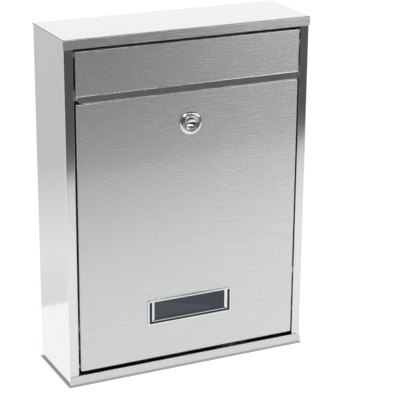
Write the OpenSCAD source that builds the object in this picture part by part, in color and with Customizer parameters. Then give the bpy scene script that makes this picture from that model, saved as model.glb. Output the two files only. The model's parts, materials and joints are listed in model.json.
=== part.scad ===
// Wall mounted mailbox in folded stainless sheet: a letter flap above a drop-down door,
// with a cam lock and a name plate in the door.
// Millimetres. X runs to the right as seen from the front, Y into the wall, Z up.
// The origin is the middle of the four wall holes, on the back face of the box.

/* [Box] */
// Width over the top and bottom panels
box_w = 222; // [210:1:250]
// Height over the top and bottom panels
box_h = 300; // [290:1:340]
// Depth from the wall to the front of the frame
box_d = 70; // [66:1:85]
// Thickness of the steel sheet
sheet = 0.8; // [0.7:0.1:0.9]
// Inside radius of every fold
fold_r = 0.6; // [0.4:0.1:0.8]
// How far the top and bottom panels stand out past each side
cap_step = 0.5; // [0.3:0.1:0.8]

/* [Front frame] */
// Width of the frame beside the opening
side_strip = 8.5; // [8:0.5:9]
// Height of the strip above the opening
top_strip = 8; // [7:0.5:10]
// Height of the strip below the opening
bottom_strip = 9; // [8:0.5:12]
// Height of the crossbar between the flap and the door
bar_h = 9; // [8:0.5:11]
// Depth of the crossbar, front to back
bar_d = 15.2; // [14.8:0.2:15.6]
// How far the crossbar stands up behind the flap
bar_lap = 5; // [4:0.5:6]

/* [Letter flap] */
// Height of the flap's flat face
flap_h = 36.5; // [34:0.5:44]
// Black gap above the flap
flap_gap = 2; // [2:0.5:3]
// How far the lip stands out in front of the flap
lip_out = 4; // [3:0.5:5]
// How far the lip reaches down from its fold
lip_drop = 5; // [4:0.5:5]
// Radius of the flap's hinge rod
rod_r = 1.5; // [1.2:0.1:1.6]

/* [Door] */
// Gap between a leaf and the frame at each side
side_gap = 1.6; // [1:0.1:1.8]
// Gap below the door
door_foot_gap = 3.3; // [3:0.1:4]
// Gap between the crossbar and the door
door_head_gap = 2.8; // [1.5:0.1:3]
// Depth of the door's folded edges
door_edge = 10; // [9:0.5:11]
// Radius of the door's two hinge pins
pin_r = 2; // [1.6:0.1:2.2]

/* [Lock] */
// Height of the lock above the middle of the box
lock_z = 70; // [50:1:72]
// Radius of the lock's chrome bezel
bezel_r = 10; // [9.5:0.1:11]
// Radius of the lock's threaded barrel
barrel_r = 8; // [7.8:0.1:8.4]
// Length of the barrel behind the door's face
barrel_l = 18; // [17:0.5:18]
// Reach of the cam from the lock's axis
cam_l = 36; // [34:0.5:38]

/* [Name plate] */
// Width of the name plate's frame
plate_w = 79; // [70:1:90]
// Height of the name plate's frame
plate_h = 22.4; // [22:0.2:24]
// Height of the name plate's middle, from the middle of the box
plate_z = -94.8; // [-100:0.2:-80]

/* [Wall holes] */
// Distance between the wall holes, side to side
hole_dx = 160; // [120:5:180]
// Distance between the wall holes, up and down
hole_dz = 220; // [180:5:240]
// Radius of each wall hole
hole_r = 3; // [2.5:0.1:4]

/* [Hidden] */
$fn = 64;
steel = "#b9bdbe";
dark_steel = "#8f9496";
chrome = "#d8dcde";
brass = "#b79a55";
rubber = "#26282a";

// planes of the box
cap_x = box_w / 2;                       // ends of the top and bottom panels
side_x = cap_x - cap_step;               // outer face of the sides
wall_x = side_x - sheet;                 // inner face of the sides
top_z = box_h / 2;
face_y = -box_d;                         // front of the frame, the flap and the door
strip_y = face_y + sheet;                // front of the side strips
frame_y = strip_y + sheet;               // back of the side strips
open_x = cap_x - side_strip;             // half width of the front opening
open_top = top_z - top_strip;
open_bottom = -top_z + bottom_strip;
weld_x = wall_x - fold_r - 0.3;          // pieces welded inside stop short of the folds

// flap, crossbar and door, one above the other
leaf_x = open_x - side_gap;              // half width of the flap and of the door
flap_top = open_top - flap_gap;
flap_fold = flap_top - flap_h;
bar_top = flap_fold + bar_lap;
bar_bottom = bar_top - bar_h;
bar_back = frame_y + bar_d;
door_top = bar_bottom - door_head_gap;
door_bottom = open_bottom + door_foot_gap;
door_back = face_y + door_edge;

// hinges
bracket_t = 1.2;                         // thickness of the hinge brackets
bracket_x = open_x + 0.7;                // inner face of the hinge brackets
bracket_foot = 4;                        // how far a bracket's foot runs along the strip
pin_end = bracket_x + bracket_t + 0.6;   // the rod and the pins end just past the brackets
bore_end = pin_end + 0.4;
rod_y = face_y + 3.5;
rod_z = flap_top - 3;
rod_play = 0.1;                          // radial play of the flap on its rod
clip_r = rod_r + 1;                      // snap ring on each end of the rod
clip_t = 0.8;
pin_y = face_y + 4.5;
pin_z = door_bottom + 4;
pin_play = 0.08;                         // radial play of the door on its pins
pin_head_r = 2.9;
body_gap = 0.3;                          // gap left between pieces that move apart
flap_pad_t = sheet - body_gap;
door_pad_t = 2.2;
stop_y = door_back + body_gap + door_pad_t;
stop_z = door_top - 8;
stop_h = 12;

// lock, measured outwards from the door's face
bezel_h = 3;                             // height of the bezel's collar
collar_r = 7.5;                          // outside of the collar around the plug
head_r = 6.42;                           // head of the plug
head_bore = 6.5;
head_face = 2.4;                         // front of the plug
head_seat = -2;                          // shoulder behind the plug's head
core_r = 5;
core_bore = 5.08;
dish_r = 4.3;                            // dished key guide in the plug's face
dish_h = 0.9;
keyway_w = 6.8;
keyway_h = 1.5;
keyway_l = 16;
tang = 6;                                // square end that carries the cam
cam_t = 1.8;
cam_play = 0.3;                          // gap between the barrel and the cam
cam_w = 14;
cam_y = face_y + barrel_l + cam_play;    // front of the cam
washer_t = 0.8;
screw_r = 2;
screw_head_r = 3.8;
screw_head_h = 2.2;
wafer_x = 4.4;
wafer_z = 1.9;
wafer_t = 0.9;
wafer_lift = [-0.5, 0.3, 0.5, -0.3, 0.1];
function wafer_y(i) = face_y + 4.5 + 2.6 * i;

// name plate
plate_t = 1.4;                           // how far the frame stands out of the door
plate_rim = 1.3;
window_w = 66.8;
window_h = 16.2;
window_z = plate_z + plate_h / 2 - plate_rim - window_h / 2;
window_t = 1.2;
card_t = 0.4;
socket_t = 0.7;                          // wall that passes through the door
groove_w = 2.4;
groove_depth = 0.9;
backplate_t = 1.4;

// ---- folded sheet ----

function left_of(v) = [-v[1], v[0]];
function heading(p, i) = (p[i + 1] - p[i]) / norm(p[i + 1] - p[i]);
function turn(a, b) = sign(a[0] * b[1] - a[1] * b[0]);

// the arc of radius r that rounds corner c between the headings a and b
function fold_arc(c, a, b, r, steps = 5) =
    let (half = acos(a * b) / 2,
         side = turn(a, b),
         centre = c - a * r * tan(half) + left_of(a) * side * r,
         from = -left_of(a) * side,
         start = atan2(from[1], from[0]))
    [for (i = [0:steps])
        centre + r * [cos(start + side * 2 * half * i / steps),
                      sin(start + side * 2 * half * i / steps)]];

// one face of a sheet of thickness t, d to the left of the corner points p
function fold_face(p, t, r, d) =
    let (last = len(p) - 1)
    [p[0] + left_of(heading(p, 0)) * d,
     for (i = [1:last - 1])
        let (a = heading(p, i - 1), b = heading(p, i),
             c = p[i] + (left_of(a) + left_of(b)) * d / (1 + a * b))
        each fold_arc(c, a, b, r + (turn(a, b) > 0 ? t - d : d)),
     p[last] + left_of(heading(p, last - 1)) * d];

// a sheet folded along the corner points p, lying to their left
module folded(p, t = sheet, r = fold_r) {
    near = fold_face(p, t, r, 0);
    far = fold_face(p, t, r, t);
    polygon(concat(near, [for (i = [len(far) - 1:-1:0]) far[i]]));
}

// a profile drawn in Y and Z, run along X and centred
module along_x(w) {
    rotate([90, 0, 90]) linear_extrude(w, center = true) children();
}

// a plate drawn in X and Z, between two depths
module along_y(front, back) {
    translate([0, back, 0]) rotate([90, 0, 0]) linear_extrude(back - front) children();
}

module box_between(low, high) {
    translate(low) cube(high - low);
}

module disc_y(r, front, back) {
    translate([0, back, 0]) rotate([90, 0, 0]) cylinder(r = r, h = back - front);
}

module disc_x(r, low, high) {
    translate([low, 0, 0]) rotate([0, 90, 0]) cylinder(r = r, h = high - low);
}

module both_sides() {
    children();
    mirror([1, 0, 0]) children();
}

// ---- box ----

module body_shell() {
    color(steel) difference() {
        linear_extrude(box_h - 2 * sheet, center = true)
            folded([[open_x, strip_y], [side_x, strip_y], [side_x, 0],
                    [-side_x, 0], [-side_x, strip_y], [-open_x, strip_y]]);
        for (x = [-1, 1], z = [-1, 1])
            translate([x * hole_dx / 2, 0, z * hole_dz / 2]) disc_y(hole_r, -5, 5);
    }
}

// a panel across the top: its strip folds down over the side strips, and two short
// flanges weld to the sides; corner rounds the ends of the strip
module cap(strip_h, corner) {
    flange = [6, 62];
    difference() {
        along_x(2 * cap_x)
            folded([[0, top_z], [face_y, top_z], [face_y, top_z - strip_h]]);
        both_sides() translate([cap_x - corner, 0, top_z - strip_h + corner])
            along_y(face_y - 1, strip_y + 1) difference() {
                translate([0, -corner - 1]) square(corner + 1);
                circle(corner);
            }
    }
    both_sides()
        box_between([wall_x - 0.1 - sheet, -flange[1], top_z - strip_h],
                    [wall_x - 0.1, -flange[0], top_z - sheet / 2]);
}

module top_panel() {
    color(steel) cap(top_strip, 1.5);
}

module bottom_panel() {
    color(steel) mirror([0, 0, 1]) cap(bottom_strip, 4.5);
}

module crossbar() {
    color(dark_steel) along_x(2 * weld_x)
        folded([[bar_back, bar_bottom], [bar_back, bar_top],
                [frame_y, bar_top], [frame_y, bar_bottom]]);
}

// an angle bracket behind the right strip, with a bore for a pin along X
module hinge_bracket(depth, low, high, y, z, bore) {
    difference() {
        translate([0, 0, low]) linear_extrude(high - low)
            folded([[bracket_x, frame_y + depth], [bracket_x, frame_y],
                    [bracket_x + bracket_t + bracket_foot, frame_y]], bracket_t);
        translate([0, y, z]) disc_x(bore, bracket_x - 1, bore_end);
    }
}

// ---- letter flap ----

module flap_bracket() {
    color(dark_steel) hinge_bracket(6.5, rod_z - 7, rod_z + 7, rod_y, rod_z, rod_r);
}

module flap_bracket_left() {
    mirror([1, 0, 0]) flap_bracket();
}

module flap_bracket_right() {
    flap_bracket();
}

module flap_rod() {
    color(dark_steel) translate([0, rod_y, rod_z]) disc_x(rod_r, -pin_end, pin_end);
}

module rod_clips() {
    near = leaf_x + body_gap;
    color(dark_steel) both_sides() translate([0, rod_y, rod_z]) difference() {
        disc_x(clip_r, near, near + clip_t);
        disc_x(rod_r, near - 1, near + clip_t + 1);
    }
}

// ear at each end of the flap: it narrows downwards and stops above the crossbar
module flap_ear() {
    root_y = strip_y - sheet / 2;
    foot_z = bar_top + 2;
    eye_r = 2.9;
    along_x(sheet) difference() {
        union() {
            polygon([[root_y, foot_z], [root_y + 2.4, foot_z], [rod_y + eye_r, rod_z],
                     [rod_y, rod_z + 2.5], [root_y, rod_z + 2.5]]);
            translate([rod_y, rod_z]) circle(eye_r);
        }
        translate([rod_y, rod_z]) circle(rod_r + rod_play);
    }
}

module flap_panel() {
    top_edge = 5.5;                      // depth of the edge folded in at the top
    lip_corner = 4.5;
    lip_front = face_y - lip_out;
    lip_end = flap_fold - lip_drop;
    color(steel) {
        difference() {
            along_x(2 * leaf_x)
                folded([[face_y + top_edge, flap_top], [face_y, flap_top],
                        [face_y, flap_fold], [lip_front, lip_end]]);
            both_sides() translate([leaf_x - lip_corner, 0, lip_end + lip_corner])
                along_y(lip_front - 3, face_y + 2) difference() {
                    translate([0, -lip_corner - 2]) square(lip_corner + 2);
                    circle(lip_corner);
                }
        }
        both_sides() translate([leaf_x - sheet / 2, 0, 0]) flap_ear();
    }
}

module flap_buffers() {
    color(rubber) both_sides() translate([80, 0, bar_top - 4])
        disc_y(3, frame_y - flap_pad_t, frame_y);
}

// ---- door ----

// a block with a folded front: w wide, from bottom to top, between two depths
module folded_block(w, bottom, top, front, back, r) {
    half = w / 2;
    intersection() {
        translate([0, 0, bottom - 1]) linear_extrude(top - bottom + 2)
            polygon(concat([[half, back], [-half, back]],
                fold_arc([-half, front], [0, -1], [1, 0], r),
                fold_arc([half, front], [1, 0], [0, 1], r)));
        along_x(w + 2)
            polygon(concat([[back, bottom], [back, top]],
                fold_arc([front, top], [-1, 0], [0, -1], r),
                fold_arc([front, bottom], [0, -1], [1, 0], r)));
    }
}

module door_panel() {
    cut = 2 * (socket_t + 0.2);
    color(steel) difference() {
        folded_block(2 * leaf_x, door_bottom, door_top, face_y, door_back, fold_r + sheet);
        folded_block(2 * (leaf_x - sheet), door_bottom + sheet, door_top - sheet,
                     strip_y, door_back + 1, fold_r);
        translate([0, 0, lock_z]) disc_y(barrel_r + 0.1, face_y - 1, strip_y + 1);
        along_y(face_y - 1, strip_y + 1) translate([0, window_z])
            square([window_w + cut, window_h + cut], center = true);
        both_sides() translate([0, pin_y, pin_z])
            disc_x(pin_r + pin_play, leaf_x - 2, leaf_x + 1);
    }
}

module door_bracket() {
    color(dark_steel) hinge_bracket(8.5, pin_z - 7, pin_z + 8, pin_y, pin_z, pin_r);
}

module door_bracket_left() {
    mirror([1, 0, 0]) door_bracket();
}

module door_bracket_right() {
    door_bracket();
}

// a pin pressed into the bracket, with its head inside the door's edge
module door_pin() {
    head_end = leaf_x - sheet - 0.5;
    color(chrome) translate([0, pin_y, pin_z]) {
        disc_x(pin_head_r, head_end - 1, head_end);
        disc_x(pin_r, head_end - 0.5, pin_end);
    }
}

module door_pin_left() {
    mirror([1, 0, 0]) door_pin();
}

module door_pin_right() {
    door_pin();
}

module door_stops() {
    color(dark_steel) both_sides() translate([0, 0, stop_z - stop_h / 2])
        linear_extrude(stop_h)
            folded([[leaf_x - 5.5, stop_y], [wall_x, stop_y], [wall_x, stop_y + 12]],
                   bracket_t);
}

module door_buffers() {
    color(rubber) both_sides() translate([leaf_x - sheet / 2, 0, stop_z])
        disc_y(4, stop_y - door_pad_t, stop_y);
}

// ---- lock ----

// a turned shape on the lock's axis, drawn as radius and height above the door's face
module turned() {
    translate([0, face_y, lock_z]) rotate([90, 0, 0]) rotate_extrude() children();
}

// a plate on the lock's axis between two depths, drawn about the axis
module lock_plate(front, back) {
    translate([0, 0, lock_z]) along_y(front, back) children();
}

module lock_housing() {
    dome = bezel_r - collar_r;
    color(chrome) turned() polygon(concat(
        [[core_bore, -barrel_l], [barrel_r, -barrel_l], [barrel_r, 0], [bezel_r, 0]],
        [for (a = [0:15:90]) [collar_r + dome * cos(a), 0.6 + 1.8 * sin(a)]],
        [[collar_r - 0.2, bezel_h], [head_bore, bezel_h], [head_bore, head_seat],
         [core_bore, head_seat]]));
}

module lock_washer() {
    color(chrome) lock_plate(strip_y, strip_y + 0.6) difference() {
        circle(11);
        circle(barrel_r);
    }
}

module lock_nut() {
    color(brass) lock_plate(strip_y + 0.6, strip_y + 3.6) difference() {
        circle(12.1, $fn = 6);
        circle(barrel_r);
    }
}

module lock_plug() {
    rear = barrel_l + cam_play;
    color(chrome) difference() {
        union() {
            turned() polygon([
                [0, -rear], [core_r, -rear], [core_r, head_seat + 0.1],
                [head_r, head_seat + 0.1], [head_r, head_face - 0.2],
                [head_r - 0.2, head_face], [dish_r, head_face],
                [dish_r - 0.8, head_face - dish_h], [0, head_face - dish_h]]);
            lock_plate(cam_y - 0.5, cam_y + cam_t) square(tang, center = true);
        }
        lock_plate(face_y - 5, face_y + keyway_l)
            square([keyway_w, keyway_h], center = true);
        for (i = [0:4]) translate([0, wafer_y(i), lock_z])
            cube([2 * core_r + 2, wafer_t + 0.1, 2 * wafer_z + 0.1], center = true);
        translate([0, 0, lock_z]) disc_y(screw_r, cam_y - 1.5, cam_y + 3);
    }
}

// flat tumblers, each with a window that the key passes through
module lock_wafers() {
    color(brass) for (i = [0:4])
        translate([0, wafer_y(i), lock_z]) difference() {
            cube([2 * wafer_x, wafer_t, 2 * wafer_z], center = true);
            translate([wafer_lift[i], 0, 0])
                cube([2 * wafer_x - 3.4, 2, keyway_h + 0.1], center = true);
        }
}

module lock_cam() {
    half = cam_w / 2;
    color(chrome) lock_plate(cam_y, cam_y + cam_t) difference() {
        union() {
            circle(half);
            translate([-cam_l + half, 0]) circle(half);
            translate([-cam_l + half, -half]) square([cam_l - half, cam_w]);
        }
        square(tang, center = true);
    }
}

module cam_washer() {
    color(chrome) lock_plate(cam_y + cam_t, cam_y + cam_t + washer_t) difference() {
        circle(6);
        circle(screw_r);
    }
}

module cam_screw() {
    seat = cam_y + cam_t + washer_t;
    color(chrome) difference() {
        translate([0, 0, lock_z]) {
            disc_y(screw_r, cam_y - 1.3, seat + 0.5);
            disc_y(screw_head_r, seat, seat + screw_head_h);
        }
        for (turn = [0, 90])
            translate([0, seat + screw_head_h, lock_z]) rotate([0, turn, 0])
                cube([4.4, 2, 0.9], center = true);
    }
}

// ---- name plate ----

module name_rect(w, h, r) {
    square([w - 2 * r, h], center = true);
    square([w, h - 2 * r], center = true);
    for (x = [-1, 1], z = [-1, 1])
        translate([x * (w / 2 - r), z * (h / 2 - r)]) circle(r);
}

module window_shape() {
    translate([0, window_z]) square([window_w, window_h], center = true);
}

// frame with a groove down its sides and along its foot, and a socket through the door
module name_frame() {
    front = face_y - plate_t;
    inner_x = plate_w / 2 - plate_rim;
    foot = plate_z - plate_h / 2 + plate_rim;
    groove_top = plate_z + plate_h / 2 - plate_rim;
    color(chrome) difference() {
        union() {
            along_y(front, face_y) translate([0, plate_z]) name_rect(plate_w, plate_h, 1);
            along_y(face_y - 0.5, strip_y + card_t) translate([0, window_z])
                square([window_w + 2 * socket_t, window_h + 2 * socket_t], center = true);
        }
        along_y(front - 1, strip_y + 2) window_shape();
        along_y(front - 1, front + groove_depth) difference() {
            translate([-inner_x, foot]) square([2 * inner_x, groove_top - foot]);
            translate([-inner_x + groove_w, foot + groove_w])
                square([2 * (inner_x - groove_w), groove_top - foot]);
        }
    }
}

module name_window() {
    color("#59606680") along_y(strip_y - window_t, strip_y) window_shape();
}

module name_card() {
    color("#4a5158") along_y(strip_y, strip_y + card_t) window_shape();
}

module name_backplate() {
    color(rubber) along_y(strip_y + card_t, strip_y + card_t + backplate_t)
        translate([0, window_z]) name_rect(window_w + 8, window_h + 4, 1.5);
}

body_shell();
top_panel();
bottom_panel();
crossbar();
flap_bracket_left();
flap_bracket_right();
flap_rod();
rod_clips();
flap_panel();
flap_buffers();
door_panel();
door_bracket_left();
door_bracket_right();
door_pin_left();
door_pin_right();
door_stops();
door_buffers();
lock_housing();
lock_washer();
lock_nut();
lock_plug();
lock_wafers();
lock_cam();
cam_washer();
cam_screw();
name_frame();
name_window();
name_card();
name_backplate();
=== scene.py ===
"""A wall mounted mailbox in brushed stainless sheet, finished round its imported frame.
Metres, in the frame's own axes: X to the right seen from the front, Y into the wall, Z up.
"""

import json
import math

import bmesh
import bpy
import numpy as np
from mathutils import Matrix, Vector


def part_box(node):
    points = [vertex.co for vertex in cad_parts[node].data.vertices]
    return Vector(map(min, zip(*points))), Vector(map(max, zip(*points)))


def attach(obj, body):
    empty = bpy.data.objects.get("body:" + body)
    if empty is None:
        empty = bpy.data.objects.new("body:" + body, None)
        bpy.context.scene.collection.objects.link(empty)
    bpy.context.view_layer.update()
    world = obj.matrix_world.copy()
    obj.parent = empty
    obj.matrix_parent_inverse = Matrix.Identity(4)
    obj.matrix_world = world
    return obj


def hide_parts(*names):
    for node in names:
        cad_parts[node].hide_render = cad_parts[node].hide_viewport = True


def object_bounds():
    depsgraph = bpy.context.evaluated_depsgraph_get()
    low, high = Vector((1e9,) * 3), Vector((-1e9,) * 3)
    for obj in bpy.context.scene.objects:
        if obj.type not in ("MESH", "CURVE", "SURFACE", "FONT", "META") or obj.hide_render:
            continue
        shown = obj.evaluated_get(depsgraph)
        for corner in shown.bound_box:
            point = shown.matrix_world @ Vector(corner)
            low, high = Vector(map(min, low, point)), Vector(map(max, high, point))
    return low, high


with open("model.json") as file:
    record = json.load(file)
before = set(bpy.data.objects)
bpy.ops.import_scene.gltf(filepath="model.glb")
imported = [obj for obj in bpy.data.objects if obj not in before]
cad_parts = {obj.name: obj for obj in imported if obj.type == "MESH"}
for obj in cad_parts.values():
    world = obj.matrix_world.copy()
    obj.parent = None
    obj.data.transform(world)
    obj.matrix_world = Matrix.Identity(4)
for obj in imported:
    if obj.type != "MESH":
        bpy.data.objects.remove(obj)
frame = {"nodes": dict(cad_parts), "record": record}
cad_low, cad_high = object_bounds()
mm = 0.001


# ---- Studio ----
# A bright, soft room over a pale floor, seen well below the box so that the open door hangs
# free. Cards level with the box's foot are hidden from the camera and only mirrored: they
# give each steel face its lights and darks. A narrow strip under the box is its shade.

def node(tree, kind, inputs=(), **settings):
    """Adds a shader node: settings are its own properties, and inputs is a dict from a
    socket's name or number to a value or to the output that feeds it."""
    made = tree.nodes.new(kind)
    for key, value in settings.items():
        setattr(made, key, value)
    for key, value in dict(inputs).items():
        if isinstance(value, bpy.types.NodeSocket):
            tree.links.new(value, made.inputs[key])
        else:
            made.inputs[key].default_value = value
    return made


def srgb(code):
    """An sRGB hex colour as linear RGBA: each channel c becomes ((c + 0.055) / 1.055) ** 2.4,
    or c / 12.92 where it is dark."""
    channels = [int(code[i:i + 2], 16) / 255 for i in (1, 3, 5)]
    return (*(c / 12.92 if c <= 0.04045 else ((c + 0.055) / 1.055) ** 2.4
              for c in channels), 1.0)


def material(name):
    """An empty node material: its tree and the output node to plug into."""
    made = bpy.data.materials.new(name)
    made.use_nodes = True
    made.node_tree.nodes.clear()
    return made, made.node_tree, made.node_tree.nodes.new("ShaderNodeOutputMaterial")


def glow_card(name, low, high, stops, seen=False, mirrored=True, turned=0.0):
    """A staged rectangle in XY whose glow changes along Y. Stops are pairs of a place in
    metres and a glow, with straight ramps between them; turned swings the ramps about Z.
    A card is seen by the camera, mirrored in the steel, or both."""
    mesh = bpy.data.meshes.new(name)
    mesh.from_pydata([low, (high[0], low[1], low[2]), high, (low[0], high[1], high[2])],
                     [], [(0, 1, 2, 3)])
    card = bpy.data.objects.new(name, mesh)
    bpy.context.collection.objects.link(card)
    made, tree, output = material(name)
    place = node(tree, "ShaderNodeTexCoord").outputs["Object"]
    turn = node(tree, "ShaderNodeMapping", {"Vector": place, "Rotation": (0, 0, turned)})
    along = node(tree, "ShaderNodeSeparateXYZ", {"Vector": turn.outputs[0]}).outputs["Y"]
    first, last = stops[0][0], stops[-1][0]
    share = node(tree, "ShaderNodeMapRange", {"Value": along, "From Min": first,
                                              "From Max": last}).outputs[0]
    ramp = node(tree, "ShaderNodeValToRGB", {"Fac": share})
    steps = ramp.color_ramp.elements
    steps[1].position = 1.0
    for spot, glow in stops[1:-1]:
        steps.new((spot - first) / (last - first)).color = (glow, glow, glow, 1)
    steps[0].color = (stops[0][1],) * 3 + (1,)
    steps[-1].color = (stops[-1][1],) * 3 + (1,)
    shader = node(tree, "ShaderNodeEmission", {"Color": ramp.outputs["Color"]})
    tree.links.new(shader.outputs[0], output.inputs["Surface"])
    mesh.materials.append(made)
    card.visible_camera = seen
    card.visible_diffuse = seen and mirrored
    card.visible_glossy = mirrored
    card.visible_shadow = False


azimuth, elevation, roll = map(math.radians, (-25.84, 19.30, 0.48))
target, distance = Vector((0.0432, 0.0, -0.0265)), 1.3759
back = Vector((math.sin(azimuth) * math.cos(elevation),
               -math.cos(azimuth) * math.cos(elevation), math.sin(elevation)))
camera = bpy.data.objects.new("camera", bpy.data.cameras.new("camera"))
camera.data.lens = 137.65
camera.matrix_world = (Matrix.Translation(target + back * distance)
                       @ Matrix.Rotation(azimuth, 4, "Z")
                       @ Matrix.Rotation(math.pi / 2 - elevation, 4, "X")
                       @ Matrix.Rotation(roll, 4, "Z"))
bpy.context.collection.objects.link(camera)
bpy.context.scene.camera = camera

foot_z = cad_low.z - 0.1 * mm
floor_z, shade_z, card_z = foot_z - 0.26, foot_z + 0.5 * mm, foot_z + mm
front_y = cad_low.y + 1.8 * mm
floor_glow, shade_glow = 1.05, 0.40
for name, half, z, mirrored in (("floor", 4, floor_z, True),
                                ("far_floor", 14, floor_z - mm, False)):
    glow_card(name, (-half, -half, z), (half, half, z),
              [(-half, floor_glow), (half, floor_glow)], seen=True, mirrored=mirrored)
glow_card("contact_shade", (cad_low.x - 1.5 * mm, front_y, shade_z), (cad_high.x, 0, shade_z),
          [(-0.08, shade_glow), (0.0, shade_glow)], seen=True)
for name, (left, near), (right, far), stops, turned in (
        ("front_card", (-1.6, -3.0), (0.60, front_y),
         [(-3.0, 0.11), (-0.605, 0.08), (-0.565, 0.74), (-0.45, 0.84), (-0.34, 0.95),
          (-0.07, 0.92)], 5),
        ("window_card", (0.60, -3.0), (2.4, 0.05),
         [(-3.0, 0.10), (-0.60, 0.10), (-0.50, 0.30), (0.05, 0.40)], 0),
        ("right_card", (0.125, 0.05), (2.4, 1.6), [(0.05, 0.88), (0.5, 0.60), (1.6, 0.72)], 0),
        ("side_card", (-1.6, 0.10), (-0.12, 1.6),
         [(0.10, 0.80), (0.24, 0.86), (0.52, 0.60), (1.6, 0.66)], 0)):
    glow_card(name, (left, near, card_z), (right, far, card_z), stops,
              turned=math.radians(turned))

# The room is bright behind the box and dim in front of it.
world = bpy.data.worlds.new("room")
bpy.context.scene.world = world
world.use_nodes = True
room = world.node_tree
facing = node(room, "ShaderNodeSeparateXYZ",
              {"Vector": node(room, "ShaderNodeTexCoord").outputs["Generated"]})
behind = node(room, "ShaderNodeMapRange", {"Value": facing.outputs["Y"], "From Min": -0.15,
                                           "From Max": 0.45, "To Min": 0.09, "To Max": 1.13})
room.links.new(behind.outputs[0], room.nodes["Background"].inputs["Strength"])
room.nodes["Background"].inputs["Color"].default_value = (1, 1, 1, 1)


def softbox(name, place, size, watts):
    """A rectangular lamp, aimed at the middle of the box."""
    light = bpy.data.objects.new(name, bpy.data.lights.new(name, "AREA"))
    light.data.shape = "RECTANGLE"
    light.data.size, light.data.size_y = size
    light.data.energy = watts
    light.location = place
    light.rotation_euler = (-Vector(place)).to_track_quat("-Z", "Y").to_euler()
    bpy.context.collection.objects.link(light)


softbox("right_strip", (1.95, -2.05, 0.36), (1.9, 0.60), 14)
softbox("front_strip", (0.80, -2.72, 0.93), (0.60, 0.20), 3.5)
softbox("left_lamp", (-0.9, -1.1, 1.7), (1.1, 0.9), 14)

bpy.context.scene.view_settings.view_transform = "Standard"


# ---- Body shell ----
# The back, both sides and the two side strips are one sheet of 0.8 mm stainless steel,
# brushed up and down and folded four times; four holes in the back take the wall screws.

SHEET, FOLD = 0.8 * mm, 0.2 * mm      # the sheet, and a fold's inside radius
EASE, ROUNDED = 0.14 * mm, 0.36 * mm  # a deburred cut edge, and one that is also polished
SEAM = 0.4 * mm                       # the line left open between two sheets that meet
END = 8                               # points round a cut edge: two quarter rounds of four


def fold_face(corners, thick, radius, offset, steps=8):
    """One face of a folded sheet, offset to the left of the corner points. Each corner is
    swapped for an arc tangent to both runs; the arc's radius is the fold's inside radius,
    one for all or one for each corner, plus the part of the sheet that lies between the
    face and the inside of the fold."""
    corners = np.asarray(corners, float)
    radii = np.broadcast_to(radius, len(corners) - 2)
    runs = np.diff(corners, axis=0)
    runs /= np.linalg.norm(runs, axis=1)[:, None]
    left = runs[:, ::-1] * (-1, 1)
    points = [corners[:1] + left[0] * offset]
    for a, b, la, lb, corner, inner in zip(runs, runs[1:], left, left[1:], corners[1:-1],
                                           radii):
        place = corner + (la + lb) * offset / (1 + a @ b)
        side = np.sign(a[0] * b[1] - a[1] * b[0])
        half = math.acos(min(1.0, a @ b)) / 2
        if half < 1e-4:
            points.append(place[None])
            continue
        bend = inner + (thick - offset if side > 0 else offset)
        centre = place - a * bend * math.tan(half) + la * side * bend
        turn = np.linspace(0, 2 * half, steps + 1)[:, None]
        points.append(centre - la * side * bend * np.cos(turn) + a * bend * np.sin(turn))
    points.append(corners[-1:] + left[-1] * offset)
    return np.concatenate(points), runs[0], runs[-1]


def fold_ring(corners, thick, radius, ease, inset):
    """The closed outline of a folded sheet: the near face, the rounded far end, the far
    face backwards and the rounded near end. Inset shrinks the outline all round."""
    near, first, last = fold_face(corners, thick, radius, 0)
    far = fold_face(corners, thick, radius, thick)[0]
    rim = ease - inset
    turn = np.linspace(0, math.pi / 2, END // 2)[:, None]
    ends = []
    for low, high, out in ((near[-1], far[-1], last), (near[0], far[0], -first)):
        up = (high - low) / thick
        ends.append(np.concatenate([
            low + (up - out) * ease + rim * (-up * np.cos(turn) + out * np.sin(turn)),
            high - (up + out) * ease + rim * (out * np.cos(turn) + up * np.sin(turn))]))
    near = fold_face(corners, thick, radius, inset)[0][1:-1]
    far = fold_face(corners, thick, radius, thick - inset)[0][1:-1]
    return np.concatenate([near, ends[0], far[::-1], ends[1][::-1]]), len(near)


def sheet_run(corners, place, reach, thick=SHEET, radius=FOLD, ease=EASE):
    """A folded sheet run along an axis. Its outline is carried from one end to the other,
    and shrinks by a quarter round at both ends, so that every cut edge is eased.
    place(outline, s) puts the outline at s along the axis; reach(outline) is the low and
    high end of the run at each point of the outline."""
    turn = np.linspace(0, math.pi / 2, 4)
    rows = []
    for end in (0, 1):
        for inset, step in zip(ease * (1 - np.sin(turn)), ease * (1 - np.cos(turn))):
            ring, count = fold_ring(corners, thick, radius, ease, inset)
            low, high = reach(ring)
            rows.append((end, place(ring, high - step if end else low + step)))
    grid = np.array([r for e, r in rows if not e] + [r for e, r in rows if e][::-1])
    points, faces = skin(grid, wrap=True)
    size = grid.shape[1]
    first = len(points) - size
    back = size - END - 1
    strip = [(i, i + 1, back - 1 - i, back - i) for i in range(count - 1)]
    ends = [tuple(range(count - 1, count + END + 1)), (*range(back, size), 0)]
    for cap in strip + ends:
        faces.append(cap)
        faces.append(tuple(first + i for i in cap))
    return points, faces


def skin(grid, wrap=False):
    """Points and quads over a grid of points; wrap joins each row's end to its start."""
    rows, cols = grid.shape[:2]
    index = np.arange(rows * cols).reshape(rows, cols)
    if wrap:
        index = np.hstack([index, index[:, :1]])
    quads = np.stack([index[:-1, :-1], index[:-1, 1:], index[1:, 1:], index[1:, :-1]], -1)
    return grid.reshape(-1, 3), [tuple(q) for q in quads.reshape(-1, 4).tolist()]


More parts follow.
